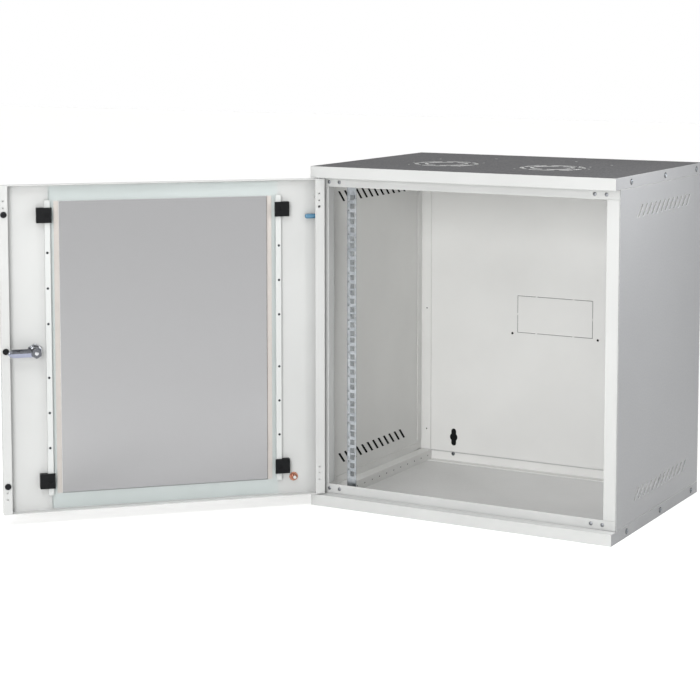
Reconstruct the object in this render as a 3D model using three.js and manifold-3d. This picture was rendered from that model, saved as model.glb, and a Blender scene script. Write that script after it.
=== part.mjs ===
// Wall-mount 19-inch network cabinet with a glazed, left-hung door.
// Millimetres. X runs right, Y runs to the wall, Z runs up.
// The origin is the centre of the underside of the cabinet, which stands clear of the open door.
import * as THREE from 'three';
import { mergeVertices } from 'three/addons/utils/BufferGeometryUtils.js';
import Module from 'manifold-3d';

const wasm = await Module();
wasm.setup();

// Overall sizes.
const width = 600;
const depth = 450;
const height = 638;
const sheet = 1.5;
const coverLip = 21;
const frameSetback = 24;
const openAngle = 134.8;

// Clearances.
const gap = 0.3;
const doorSideGap = 2.5;
const doorEndGap = 1.5;
const panelGap = 0.4;
const pinClearance = 0.6;
const screwClearance = 0.4;

// Front frame.
const postWidth = 24.5;
const postDepth = 21;
const railHeight = 17.5;
const rivetInset = [26, 47.5];

// Side and rear frame.
const sideRailWidth = 23.5;
const rearPostDepth = 19;
const rearPostWidth = 23.5;
const rearRailFoot = 20;

// 19-inch profiles.
const rackUnit = 44.45;
const rackUnits = Math.floor((height - 2 * (coverLip + railHeight)) / rackUnit);
const rackHoleSpan = 465.1;
const rackOpening = 450;
const rackFaceWidth = 19.5;
const rackDepth = 26;
const rackSetback = { left: 38, right: 188 };
const squareHole = 9.5;

// Door.
const doorThickness = 18.5;
const doorFaceY = 0.5;
const hingeX = 11.5;
const hingeY = 9.5;
const lockReturn = 15;
const hingeReturn = 17.5;
const windowHalf = 191;
const windowHalfHeight = 265.5;
const paneOverlapX = 19;
const paneOverlapZ = 26.5;
const paneThickness = 4;
const tapeWidth = 9;
const tapeThickness = 1;
const clampSize = 27;

// The sizes above are drawn for a 600 mm wide cabinet; these follow the real width and height.
const midX = width / 2;
const midZ = height / 2;
const doorLeft = doorSideGap;
const doorRight = width - doorSideGap;
const doorBottom = coverLip + doorEndGap;
const doorTop = height - coverLip - doorEndGap;
const doorBackY = doorFaceY + doorThickness;
const windowX = windowHalf + (width - 600) / 2;
const windowZ = windowHalfHeight + (height - 638) / 2;

// A closed three.js geometry as a solid.
function solid(geometry) {
  const g = geometry.clone();
  g.deleteAttribute('normal');
  g.deleteAttribute('uv');
  const merged = mergeVertices(g, 1e-5);
  return new wasm.Manifold(new wasm.Mesh({
    numProp: 3,
    vertProperties: new Float32Array(merged.attributes.position.array),
    triVerts: new Uint32Array(merged.index.array),
  }));
}

function block(x0, x1, y0, y1, z0, z1) {
  const g = new THREE.BoxGeometry(x1 - x0, y1 - y0, z1 - z0);
  g.translate((x0 + x1) / 2, (y0 + y1) / 2, (z0 + z1) / 2);
  return solid(g);
}

// A round bar from a to b along one axis, centred on (u, v) of the other two axes in X, Y, Z order.
function bar(axis, radius, a, b, u, v, sides = 12) {
  const g = new THREE.CylinderGeometry(radius, radius, b - a, sides);
  g.translate(0, (a + b) / 2, 0);
  if (axis === 'x') {
    g.rotateZ(-Math.PI / 2);
    g.translate(0, u, v);
  } else if (axis === 'y') {
    g.translate(u, 0, v);
  } else {
    g.rotateX(Math.PI / 2);
    g.translate(u, v, 0);
  }
  return solid(g);
}

// A flat outline pushed along an axis: 'x' takes (y, z) points, 'y' takes (x, z), 'z' takes (x, y).
function plate(axis, points, a, b) {
  const shape = new THREE.Shape(points.map(([u, v]) => new THREE.Vector2(u, v)));
  const g = new THREE.ExtrudeGeometry(shape, { depth: b - a, bevelEnabled: false });
  g.translate(0, 0, a);
  const m = new THREE.Matrix4();
  if (axis === 'x') {
    m.makeBasis(new THREE.Vector3(0, 1, 0), new THREE.Vector3(0, 0, 1), new THREE.Vector3(1, 0, 0));
  } else if (axis === 'y') {
    m.makeBasis(new THREE.Vector3(1, 0, 0), new THREE.Vector3(0, 0, 1), new THREE.Vector3(0, -1, 0));
    g.translate(0, 0, -a - b);
  }
  if (axis !== 'z') {
    g.applyMatrix4(m);
  }
  return solid(g);
}

// A turned piece about an axis parallel to Y at (x, z); the profile lists [radius, y].
function turned(profile, x, z, sides = 12) {
  const points = profile.map(([r, y]) => new THREE.Vector2(r, y));
  const g = new THREE.LatheGeometry(points, sides);
  g.translate(x, 0, z);
  return solid(g);
}

const join = (pieces) => pieces.reduce((a, b) => a.add(b));
const cut = (base, tools) => tools.reduce((a, b) => a.subtract(b), base);

// Materials.
const paint = (color) => new THREE.MeshStandardMaterial({ color, roughness: 0.5, metalness: 0 });
const zinc = () => new THREE.MeshStandardMaterial({ color: '#b4b8ba', roughness: 0.38, metalness: 1 });
const chrome = () => new THREE.MeshStandardMaterial({ color: '#c9ccd2', roughness: 0.15, metalness: 1 });
const copper = () => new THREE.MeshStandardMaterial({ color: '#c07a55', roughness: 0.3, metalness: 1 });
const glassy = () => new THREE.MeshStandardMaterial({
  color: '#bebebe', roughness: 0.05, metalness: 0, transparent: true, opacity: 0.5,
});
const plastic = (color) => new THREE.MeshStandardMaterial({ color, roughness: 0.55, metalness: 0 });
const greyPaint = '#dfe0df';

const cabinet = new THREE.Group();
cabinet.position.set(-width / 2, -depth / 2, 0);
const door = new THREE.Group();
door.position.set(hingeX, hingeY, 0);
door.rotation.z = -THREE.MathUtils.degToRad(openAngle);
cabinet.add(door);

function place(group, name, piece, material) {
  const { numProp, vertProperties, triVerts } = piece.getMesh();
  const positions = new Float32Array((vertProperties.length / numProp) * 3);
  for (let i = 0; i < positions.length / 3; i += 1) {
    positions[3 * i] = vertProperties[numProp * i];
    positions[3 * i + 1] = vertProperties[numProp * i + 1];
    positions[3 * i + 2] = vertProperties[numProp * i + 2];
  }
  const g = new THREE.BufferGeometry();
  g.setAttribute('position', new THREE.BufferAttribute(positions, 3));
  g.setIndex(new THREE.BufferAttribute(new Uint32Array(triVerts), 1));
  if (group === door) {
    g.translate(-hingeX, -hingeY, 0);
  }
  g.computeVertexNormals();
  const mesh = new THREE.Mesh(g, material);
  mesh.name = name;
  group.add(mesh);
}

const mirrorX = ([x0, x1]) => [width - x1, width - x0];
const mirrorZ = ([z0, z1]) => [height - z1, height - z0];
// A block given for the left side, or its mirror image on the right.
function sided(side, xs, y0, y1, z0, z1) {
  const [x0, x1] = side === 'left' ? xs : mirrorX(xs);
  return block(x0, x1, y0, y1, z0, z1);
}
// The same, given for the bottom or mirrored to the top.
function ended(end, x0, x1, y0, y1, zs) {
  const [z0, z1] = end === 'bottom' ? zs : mirrorZ(zs);
  return block(x0, x1, y0, y1, z0, z1);
}

// Side screws through the cover lips into the side rails.
const screwY = [depth / 2 - 151, depth / 2 + 19, depth / 2 + 189];
const screwZ = coverLip / 2;
const shankRadius = 2;
function sideScrewHoles(x0, x1, z) {
  return screwY.map((y) => bar('x', shankRadius + screwClearance, x0, x1, y, z, 8));
}

// Pressed top and bottom covers: a tray with a turned lip, closed at the front by a return.
const returnDepth = frameSetback - 1;
function cover(end) {
  const tray = ended(end, 0, width, 0, depth, [0, coverLip])
    .subtract(ended(end, sheet, width - sheet, sheet, depth - sheet, [sheet, coverLip + 5]));
  const shell = [
    tray,
    ended(end, sheet / 2, width - sheet / 2, sheet / 2, returnDepth,
      [coverLip - sheet - 0.2, coverLip - 0.2]),
  ];
  const z = end === 'bottom' ? screwZ : height - screwZ;
  const [pinLow, pinHigh] = end === 'bottom' ? [2, coverLip + 5] : [height - coverLip - 5, height - 2];
  const tools = [
    ...sideScrewHoles(-5, 5, z),
    ...sideScrewHoles(width - 5, width + 5, z),
    bar('z', 3 + pinClearance, pinLow + 1, pinHigh - 1, hingeX, hingeY, 12),
  ];
  return [join(shell), tools];
}

// Fan positions on the top: two knock-out rings of slots each, with four fan screw holes.
const fanX = [midX - 108, midX + 108];
const fanY = depth / 2 - 47;
const ringSpecs = [[57, 6, 6.5], [38, 4, 6.5]];
function arcSlot(cx, cy, radius, slotWidth, from, to) {
  const steps = 5;
  const outer = [];
  const inner = [];
  for (let i = 0; i <= steps; i += 1) {
    const a = from + ((to - from) * i) / steps;
    outer.push([cx + (radius + slotWidth / 2) * Math.cos(a), cy + (radius + slotWidth / 2) * Math.sin(a)]);
    inner.unshift([cx + (radius - slotWidth / 2) * Math.cos(a), cy + (radius - slotWidth / 2) * Math.sin(a)]);
  }
  return plate('z', [...outer, ...inner], height - 5, height + 5);
}
const bridge = 9;
const fanCuts = [];
for (const x of fanX) {
  for (const [radius, count, slotWidth] of ringSpecs) {
    const share = (2 * Math.PI) / count;
    for (let i = 0; i < count; i += 1) {
      const margin = bridge / 2 / radius;
      fanCuts.push(arcSlot(x, fanY, radius, slotWidth, i * share + margin, (i + 1) * share - margin));
    }
  }
  for (const dx of [-52.5, 52.5]) {
    for (const dy of [-52.5, 52.5]) {
      fanCuts.push(bar('z', 2.2, height - 5, height + 5, x + dx, fanY + dy, 6));
    }
  }
}
for (const dx of [-178, 178]) {
  for (const dy of [-45, 67]) {
    fanCuts.push(bar('z', 2.5, height - 5, height + 5, midX + dx, depth / 2 + dy, 6));
  }
}
for (const dx of [-84, 84]) {
  fanCuts.push(bar('z', 3, height - 5, height + 5, midX + dx, depth / 2 + 123, 6));
}
const [topShell, topTools] = cover('top');
place(cabinet, 'top_cover', cut(topShell, [...topTools, ...fanCuts]), paint('#c9cac9'));
const [bottomShell, bottomTools] = cover('bottom');
place(cabinet, 'bottom_cover', cut(bottomShell, bottomTools), paint(greyPaint));

// Side panels: a flat sheet between the cover lips with a joggled tongue behind each lip,
// and two rows of slanted vent slots. One pressing fits both sides, turned end for end.
const slotCount = 12;
const slotSpan = 249;
const slotCentreY = { left: depth / 2 + 13.5, right: depth / 2 + 20.5 };
const slotHeight = 20.5;
const slotLean = 20.5;
const slotWide = 8;
const slotZ = [coverLip + 46.5, height - coverLip - 43.5];
const tongueY = [60, depth - 22];
for (const side of ['left', 'right']) {
  const pieces = [
    sided(side, [0, sheet], frameSetback, depth - sheet - panelGap,
      coverLip + panelGap, height - coverLip - panelGap),
    sided(side, [sheet, 2 * sheet], tongueY[0], tongueY[1], 6, coverLip + 14),
    sided(side, [sheet, 2 * sheet], tongueY[0], tongueY[1], height - coverLip - 14, height - 6),
  ];
  const lean = side === 'left' ? -slotLean : slotLean;
  const tools = [];
  for (const z of slotZ) {
    for (let i = 0; i < slotCount; i += 1) {
      const y = slotCentreY[side] - slotSpan / 2 + (slotSpan * i) / (slotCount - 1);
      const outline = [
        [y - lean / 2 - slotWide / 2, z - slotHeight / 2],
        [y - lean / 2 + slotWide / 2, z - slotHeight / 2],
        [y + lean / 2 + slotWide / 2, z + slotHeight / 2],
        [y + lean / 2 - slotWide / 2, z + slotHeight / 2],
      ];
      const [x0, x1] = side === 'left' ? [-4, 8] : [width - 8, width + 4];
      tools.push(plate('x', outline, x0, x1));
    }
  }
  const [h0, h1] = side === 'left' ? [-5, 8] : [width - 8, width + 5];
  tools.push(...sideScrewHoles(h0, h1, screwZ), ...sideScrewHoles(h0, h1, height - screwZ));
  place(cabinet, `side_panel_${side}`, cut(join(pieces), tools), paint(greyPaint));
}

// Rear panel with four keyholes for the wall screws. The cable knock-out is cut in the same sheet
// as a thin groove and stays joined by six bridges.
const keyX = 77.4;
const keyZ = 52;
const keyHeadRadius = 8.6;
const keyNeckHalf = 5.5;
const keyReach = 12.5;
const knockHalf = [81, 37.5];
const knockGroove = 0.8;
const rearInner = depth - sheet;
const rearTools = [];
for (const x of [keyX, width - keyX]) {
  for (const z of [keyZ, height - keyZ]) {
    rearTools.push(bar('y', keyHeadRadius, depth - 5, depth + 5, x, z, 20));
    rearTools.push(block(x - keyNeckHalf, x + keyNeckHalf, depth - 5, depth + 5,
      z - keyReach, z + keyReach));
    for (const dz of [-keyReach, keyReach]) {
      rearTools.push(bar('y', keyNeckHalf, depth - 5, depth + 5, x, z + dz, 12));
    }
  }
}
const kx = knockHalf[0];
const kz = knockHalf[1];
const kg = knockGroove;
const bridgeX = 40;
for (const s of [-1, 1]) {
  const z = [midZ + s * kz, midZ + s * (kz - kg)].sort((p, q) => p - q);
  const x = [midX + s * kx, midX + s * (kx - kg)].sort((p, q) => p - q);
  for (const [a, b] of [[-kx, -bridgeX - 2], [-bridgeX + 2, bridgeX - 2], [bridgeX + 2, kx]]) {
    rearTools.push(block(midX + a, midX + b, depth - 5, depth + 5, ...z));
  }
  for (const [a, b] of [[-kz, -2], [2, kz]]) {
    rearTools.push(block(...x, depth - 5, depth + 5, midZ + a, midZ + b));
  }
}
for (const dx of [-92, 92]) {
  rearTools.push(bar('y', 2.6, depth - 5, depth + 5, midX + dx, midZ - 40, 8));
}
place(cabinet, 'rear_panel',
  cut(block(0, width, rearInner, depth, coverLip + panelGap, height - coverLip - panelGap), rearTools),
  paint(greyPaint));

// Front frame rails, riveted to the ears of the posts.
const frameY = frameSetback;
const rivetRadius = 1.6;
const railLow = coverLip + panelGap;
const railFlange = 12;
for (const end of ['bottom', 'top']) {
  const pieces = [
    ended(end, sheet + panelGap, width - sheet - panelGap, frameY, frameY + sheet,
      [railLow, coverLip + railHeight]),
    ended(end, 2 * sheet, width - 2 * sheet, frameY, frameY + railFlange,
      [coverLip, coverLip + sheet]),
  ];
  const z = end === 'bottom' ? coverLip + 9 : height - coverLip - 9;
  const tools = [];
  for (const x of [...rivetInset, ...rivetInset.map((v) => width - v)]) {
    tools.push(bar('y', rivetRadius + 0.3, frameY - 5, frameY + 5, x, z, 8));
  }
  place(cabinet, `front_rail_${end}`, cut(join(pieces), tools), paint(greyPaint));
}

// Front posts: a folded channel with an ear at each end behind the rails.
// The right-hand post is notched where the lock cam swings in.
const lockX = width - 63;
const lockZ = midZ - 3;
const camReach = 50;
for (const side of ['left', 'right']) {
  const zLow = coverLip + railHeight + gap;
  const zHigh = height - zLow;
  const x0 = sheet + panelGap;
  const earY = [frameY + sheet, frameY + 2 * sheet];
  const pieces = [
    sided(side, [x0, postWidth], frameY, frameY + sheet, zLow, zHigh),
    sided(side, [x0, x0 + sheet], frameY, frameY + postDepth, zLow, zHigh),
    sided(side, [postWidth - sheet, postWidth], frameY, frameY + postDepth, zLow, zHigh),
  ];
  for (const end of ['bottom', 'top']) {
    const near = [zLow - 2, zLow + 16];
    const ear = [coverLip + sheet + 1, zLow - 0.8];
    const [n0, n1] = end === 'bottom' ? near : mirrorZ(near);
    const [e0, e1] = end === 'bottom' ? ear : mirrorZ(ear);
    pieces.push(sided(side, [x0, postWidth], ...earY, n0, n1));
    pieces.push(sided(side, [x0, 56], ...earY, e0, e1));
  }
  const tools = [];
  for (const x of rivetInset) {
    const px = side === 'left' ? x : width - x;
    for (const z of [coverLip + 9, height - coverLip - 9]) {
      tools.push(bar('y', rivetRadius + 0.3, frameY - 5, frameY + 8, px, z, 8));
    }
  }
  if (side === 'right') {
    tools.push(block(width - postWidth - 5, width - postWidth + sheet + 1,
      frameY + sheet, frameY + postDepth + 5, lockZ - camReach, lockZ + 14));
  }
  place(cabinet, `front_post_${side}`, cut(join(pieces), tools), paint(greyPaint));
}

// Rivets at the four corners of the front frame.
const rivetNames = ['outer', 'inner'];
for (const side of ['left', 'right']) {
  for (const end of ['bottom', 'top']) {
    rivetInset.forEach((inset, i) => {
      const x = side === 'left' ? inset : width - inset;
      const z = end === 'bottom' ? coverLip + 9 : height - coverLip - 9;
      const piece = turned([
        [0, frameY - 1.4], [1.4, frameY - 1.3], [3.1, frameY - 0.6], [3.5, frameY],
        [rivetRadius, frameY], [rivetRadius, frameY + 2 * sheet], [2.6, frameY + 2 * sheet],
        [2.2, frameY + 2 * sheet + 2.4], [0, frameY + 2 * sheet + 2.6],
      ], x, z, 10);
      place(cabinet, `frame_rivet_${end}_${side}_${rivetNames[i]}`, piece, zinc());
    });
  }
}

// Side rails: open channels that carry the covers and the 19-inch profiles.
const sideRailX = [2 * sheet, 2 * sheet + sideRailWidth];
const sideRailY = [frameY + 2, depth - 2 * sheet];
const perforationPitch = 30;
for (const side of ['left', 'right']) {
  for (const end of ['bottom', 'top']) {
    const [z0, z1] = end === 'bottom' ? [sheet, coverLip] : mirrorZ([sheet, coverLip]);
    const [y0, y1] = sideRailY;
    const web = [sideRailX[1] - sheet, sideRailX[1]];
    const pieces = [
      sided(side, web, y0, y1, z0, z1),
      sided(side, sideRailX, y0, y1, z0, z0 + sheet),
      sided(side, sideRailX, y0, y1, z1 - sheet, z1),
    ];
    const tools = [];
    const x = side === 'left' ? [web[0] - 3, web[1] + 3] : [width - web[1] - 3, width - web[0] + 3];
    const count = Math.floor((y1 - y0 - 30) / perforationPitch);
    for (let i = 0; i <= count; i += 1) {
      tools.push(bar('x', 1.8, x[0], x[1], y0 + 15 + i * perforationPitch, (z0 + z1) / 2, 4));
    }
    place(cabinet, `side_rail_${end}_${side}`, cut(join(pieces), tools), paint(greyPaint));
  }
}

// Rear posts and the rear floor rail.
const rearY = rearInner - panelGap;
for (const side of ['left', 'right']) {
  const z0 = coverLip + panelGap;
  const z1 = height - coverLip - panelGap;
  const pieces = [
    sided(side, [sheet + panelGap, rearPostWidth + sheet], rearY - sheet, rearY, z0, z1),
    sided(side, [sheet + panelGap, 2 * sheet + panelGap], rearY - rearPostDepth, rearY,
      coverLip + 20, height - coverLip - 20),
  ];
  const px = side === 'left' ? 15.5 : width - 15.5;
  const tools = [64, midZ - 2, height - 64].map((z) => bar('y', 1.6, rearY - 6, rearY + 3, px, z, 6));
  place(cabinet, `rear_post_${side}`, cut(join(pieces), tools), paint(greyPaint));
}
const rearRailX = [sideRailX[1] + gap, width - sideRailX[1] - gap];
place(cabinet, 'rear_rail_bottom', join([
  block(rearRailX[0], rearRailX[1], rearY - sheet, rearY, sheet, coverLip - 1.5),
  block(rearRailX[0], rearRailX[1], rearY - rearRailFoot, rearY, sheet, 2 * sheet),
]), paint(greyPaint));

// Pair of 19-inch profiles, galvanised, with square cage-nut holes; each slides in depth on its rails.
const rackZ = [coverLip + sheet + 0.5, height - coverLip - sheet - 0.5];
const rackInner = midX - rackOpening / 2;
const rackStart = (height - rackUnits * rackUnit) / 2;
for (const side of ['left', 'right']) {
  const face = [rackInner - rackFaceWidth, rackInner];
  const y0 = rackSetback[side];
  const pieces = [
    sided(side, face, y0, y0 + sheet, ...rackZ),
    sided(side, [face[0], face[0] + sheet], y0, y0 + rackDepth, ...rackZ),
    sided(side, [5, face[1]], y0, y0 + rackDepth, coverLip, rackZ[0] + 0.1),
    sided(side, [5, face[1]], y0, y0 + rackDepth, rackZ[1] - 0.1, height - coverLip),
  ];
  const holeX = midX - rackHoleSpan / 2;
  const holes = [];
  for (let u = 0; u < rackUnits; u += 1) {
    for (const step of [6.35, 22.225, 38.1]) {
      const z = rackStart + u * rackUnit + step;
      const h = squareHole / 2;
      holes.push(sided(side, [holeX - h, holeX + h], y0 - 3, y0 + 5, z - h, z + h));
    }
    for (const step of [14.3, 30.2]) {
      const z = rackStart + u * rackUnit + step;
      holes.push(sided(side, [face[0] + 2.7, face[0] + 5.5], y0 - 3, y0 + 5, z - 2, z + 2));
    }
  }
  place(cabinet, `rack_profile_${side}`, cut(join(pieces), holes), zinc());
}

// Screws through the cover lips.
const screwRow = ['front', 'middle', 'rear'];
for (const side of ['left', 'right']) {
  for (const end of ['bottom', 'top']) {
    screwY.forEach((y, i) => {
      const z = end === 'bottom' ? screwZ : height - screwZ;
      const points = [
        [0, 2.3], [1.3, 2.3], [1.6, 1.5], [2.2, 1.5], [2.6, 2.2], [3.6, 1.3], [3.9, 0],
        [shankRadius, 0], [shankRadius, -8], [0, -8.6],
      ].reverse();
      const g = new THREE.LatheGeometry(points.map(([r, h]) => new THREE.Vector2(r, h)), 8);
      g.rotateZ(side === 'left' ? Math.PI / 2 : -Math.PI / 2);
      g.translate(side === 'left' ? 0 : width, y, z);
      place(cabinet, `cover_screw_${end}_${side}_${screwRow[i]}`, solid(g), zinc());
    });
  }
}

// Door: a folded steel pan with a window, a turned-in edge on both stiles,
// the pin guide welded in the hinge stile and the welded earth stud.
const earthX = 59;
const earthZ = doorBottom + 33;
const boltZ = [244.5, 256.2, 268.6].map((v) => v + (height - 638) / 2);
const pinRadius = 3;
const guideZ = doorTop - 35;
const face = [doorFaceY, doorFaceY + sheet];
const doorPan = cut(block(doorLeft, doorRight, doorFaceY, doorBackY, doorBottom, doorTop), [
  block(doorLeft + sheet, doorRight - sheet, face[1], doorBackY - sheet, doorBottom + sheet, doorTop - sheet),
  block(doorLeft + hingeReturn, doorRight - lockReturn, face[1] + 2, doorBackY + 5,
    doorBottom + sheet, doorTop - sheet),
]);
const doorPieces = [
  doorPan,
  block(doorLeft + 0.6, doorLeft + hingeReturn - 0.6, face[1] - 0.6, doorBackY - 0.6, guideZ, guideZ + 2),
  bar('y', 3, face[1] - 0.6, 13, earthX, earthZ, 10),
];
const doorTools = [
  block(midX - windowX, midX + windowX, -5, 10, midZ - windowZ, midZ + windowZ),
  bar('z', pinRadius + pinClearance, guideZ - 3, doorTop + 5, hingeX, hingeY, 12),
  bar('z', pinRadius + pinClearance, doorBottom - 5, doorBottom + 5, hingeX, hingeY, 12),
  bar('y', 9.4, -5, 8, lockX, lockZ, 16),
];
const bumperX = doorRight - 7.5;
for (const z of [midZ - boltZ[0], midZ, midZ + boltZ[0]]) {
  doorTools.push(bar('y', 2.3, doorBackY - 4, doorBackY + 5, bumperX, z, 8));
}
doorTools.push(bar('y', 2.6, doorBackY - 4, doorBackY + 5, 12.8, midZ + boltZ[0], 8));
doorTools.push(bar('y', 1.6, doorBackY - 4, doorBackY + 5, 12.8, midZ - boltZ[0], 6));
for (const dz of [boltZ[1], boltZ[2]]) {
  for (const x of [12.8, bumperX + 0.6]) {
    doorTools.push(bar('y', 1.6, doorBackY - 4, doorBackY + 5, x, midZ - dz, 6));
    doorTools.push(bar('y', 1.6, doorBackY - 4, doorBackY + 5, x, midZ + dz, 6));
  }
}
place(door, 'door_frame', cut(join(doorPieces), doorTools), paint(greyPaint));

// Safety-glass pane on two foam tapes.
const paneY = face[1] + tapeThickness + gap;
const paneX = windowX + paneOverlapX;
const paneZ = windowZ + paneOverlapZ;
place(door, 'glass_pane',
  block(midX - paneX, midX + paneX, paneY, paneY + paneThickness, midZ - paneZ, midZ + paneZ), glassy());
const tapes = { hinge: [-windowX - tapeWidth, -windowX], lock: [windowX, windowX + tapeWidth] };
for (const [side, [a, b]] of Object.entries(tapes)) {
  place(door, `glazing_tape_${side}`,
    block(midX + a, midX + b, face[1] + gap / 2, paneY - gap / 2, midZ - windowZ, midZ + windowZ),
    plastic('#e2d6cf'));
}

// Folded strips that hold the pane's long edges, and the black clamps over their ends.
const stripHalf = windowZ + 2;
const stripY = paneY + paneThickness + gap;
const clampZ = windowZ - 24.5;
const clampFront = 14;
for (const side of ['hinge', 'lock']) {
  const s = side === 'hinge' ? -1 : 1;
  const span = (a, b) => [midX + Math.min(s * a, s * b), midX + Math.max(s * a, s * b)];
  const strip = [
    block(...span(paneX + 7 - sheet, paneX + 7), face[1] + gap, stripY + sheet,
      midZ - stripHalf, midZ + stripHalf),
    block(...span(paneX - 3, paneX + 7), stripY, stripY + sheet, midZ - stripHalf, midZ + stripHalf),
  ];
  const tools = [];
  for (const dz of [-181, -117, -53, 45, 109, 174]) {
    const z = midZ + (dz * windowZ) / windowHalfHeight;
    tools.push(bar('y', 1.6, stripY - 2, stripY + 5, midX + s * (paneX + 2.6), z, 6));
  }
  place(door, `retainer_strip_${side}`, cut(join(strip), tools), paint('#eceeed'));
  for (const end of ['lower', 'upper']) {
    const z = end === 'upper' ? midZ + clampZ : midZ - clampZ;
    const body = [
      block(...span(paneX - 5.5, paneX - 5.5 + clampSize), stripY + sheet + gap, clampFront,
        z - clampSize / 2, z + clampSize / 2),
      block(...span(paneX + 8, paneX - 5.5 + clampSize), face[1] + gap, clampFront,
        z - clampSize / 2, z + clampSize / 2),
    ];
    const dimple = bar('y', 4.2, clampFront - 1.6, clampFront + 5, midX + s * (paneX + 2.5), z, 10);
    place(door, `glass_clamp_${side}_${end}`, cut(join(body), [dimple]), plastic('#1b1d1f'));
  }
}

// Rubber bumpers on the lock stile.
const bumperNames = ['lower', 'middle', 'upper'];
[midZ - boltZ[0], midZ, midZ + boltZ[0]].forEach((z, i) => {
  const y = doorBackY + gap / 3;
  place(door, `door_bumper_${bumperNames[i]}`, turned([
    [0, doorBackY - 3.5], [1.9, doorBackY - 3.5], [1.9, y], [5.6, y],
    [5.6, y + 2.4], [4.6, y + 3.4], [0, y + 3.6],
  ], bumperX, z, 12), plastic('#26272a'));
});

// Cam lock: housing and its fixing nut stay on the door; the plug, cam and cam nut turn together.
const housingEnd = 19.5;
const lockBody = turned([
  [6.4, doorFaceY - 2], [12, doorFaceY - 2], [12, doorFaceY - gap], [9, doorFaceY - gap], [9, housingEnd],
  [6.4, housingEnd], [6.4, doorFaceY - 2],
], lockX, lockZ, 16);
place(door, 'lock_housing', lockBody, chrome());
const nut = (radius, y0, y1, bore, x, z) => cut(bar('y', radius, y0, y1, x, z, 6),
  [bar('y', bore, y0 - 2, y1 + 2, x, z, 16)]);
place(door, 'lock_fixing_nut', nut(13.6, face[1] + gap, 8.5, 9.5, lockX, lockZ), chrome());
const camY = [26.3, 29];
const camWidth = 15;
const plug = cut(join([
  bar('y', 6, doorFaceY - 1.7, 24, lockX, lockZ, 16),
  block(lockX - 3.6, lockX + 3.6, 23, 30.5, lockZ - 3.6, lockZ + 3.6),
  bar('y', 3, 23, 35.5, lockX, lockZ, 10),
]), [block(lockX - 0.8, lockX + 0.8, -5, 8, lockZ - 3.5, lockZ + 3.5)]);
place(door, 'lock_plug', plug, chrome());
const camTip = lockX + camReach;
const camOutline = [
  [lockX - 9, lockZ - camWidth / 2], [camTip - 8, lockZ - camWidth / 2], [camTip, lockZ - 1],
  [camTip, lockZ + 1], [camTip - 6, lockZ + camWidth / 2], [lockX - 9, lockZ + camWidth / 2],
];
place(door, 'lock_cam', cut(plate('y', camOutline, ...camY), [
  block(lockX - 4, lockX + 4, 20, 34, lockZ - 4, lockZ + 4),
]), chrome());
place(door, 'lock_cam_nut', nut(9.6, 30.9, 34.6, 3.5, lockX, lockZ), chrome());

// Upper hinge pin, bent over as a pull handle with a blue sleeve, and the fixed lower pin.
const armZ = doorTop - 70;
const armEnd = hingeX + 26;
const pinTop = height - coverLip + 5.5;
place(door, 'hinge_pin_upper', join([
  bar('z', pinRadius, armZ - 3, pinTop, hingeX, hingeY, 12),
  bar('x', 2.6, hingeX, armEnd - 2, hingeY, armZ, 10),
]), zinc());
place(door, 'hinge_pin_grip', cut(bar('x', 4.6, hingeX + 4.5, armEnd, hingeY, armZ, 12), [
  bar('x', 2.9, hingeX, armEnd - 1.6, hingeY, armZ, 10),
]), plastic('#6d9fc4'));
place(door, 'hinge_pin_lower', join([
  bar('z', pinRadius, coverLip - 8, doorBottom + 22, hingeX, hingeY, 12),
  bar('z', 4.6, doorBottom + sheet + gap, doorBottom + 5, hingeX, hingeY, 12),
]), zinc());

// Copper earth nut with its washer on the welded stud.
place(door, 'earth_nut', cut(join([
  bar('y', 8, face[1] + gap, face[1] + gap + 1.4, earthX, earthZ, 14),
  bar('y', 6, face[1] + gap + 1.2, face[1] + gap + 6.4, earthX, earthZ, 6),
]), [bar('y', 3.4, 0, 12, earthX, earthZ, 10)]), copper());

const root = new THREE.Group();
root.add(cabinet);
root.updateMatrixWorld(true);

export default root;
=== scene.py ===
import math

import bmesh
import bpy
from mathutils import Matrix, Vector


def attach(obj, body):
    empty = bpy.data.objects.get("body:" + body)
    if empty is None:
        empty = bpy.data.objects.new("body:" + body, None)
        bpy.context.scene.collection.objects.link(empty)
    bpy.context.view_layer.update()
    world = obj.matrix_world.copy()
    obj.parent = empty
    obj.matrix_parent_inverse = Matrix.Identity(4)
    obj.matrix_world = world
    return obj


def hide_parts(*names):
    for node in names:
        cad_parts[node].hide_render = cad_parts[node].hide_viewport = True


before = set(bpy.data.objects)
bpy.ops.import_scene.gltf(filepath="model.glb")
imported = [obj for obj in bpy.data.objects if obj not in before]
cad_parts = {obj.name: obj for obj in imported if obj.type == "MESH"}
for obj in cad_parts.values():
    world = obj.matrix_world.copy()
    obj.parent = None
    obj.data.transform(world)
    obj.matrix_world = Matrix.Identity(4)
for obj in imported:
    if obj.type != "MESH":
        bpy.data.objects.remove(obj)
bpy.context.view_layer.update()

# ---------------------------------------------------------------------------------------------
# Camera. A long lens a little above the cabinet, far off to its right, looking slightly down.
# The small shift keeps the uprights of the cabinet close to upright.

camera_data = bpy.data.cameras.new("camera")
camera_data.sensor_width = 36.0
camera_data.lens = 97.35
camera_data.shift_y = -0.2
camera_data.clip_end = 60.0
camera = bpy.data.objects.new("camera", camera_data)
camera_yaw = math.radians(29.291)
camera_drop = math.radians(5.469)
camera.location = (1.4714, -3.2337, 0.8907)
camera.rotation_euler = (math.pi / 2 - camera_drop, 0.0, camera_yaw)
bpy.context.scene.collection.objects.link(camera)
bpy.context.scene.camera = camera

# ---------------------------------------------------------------------------------------------
# Studio. A pale seamless floor under a white surround that is dimmer on the right, a large soft
# lamp in front, a higher one that reaches into the cabinet, and a small one by the right side.


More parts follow.
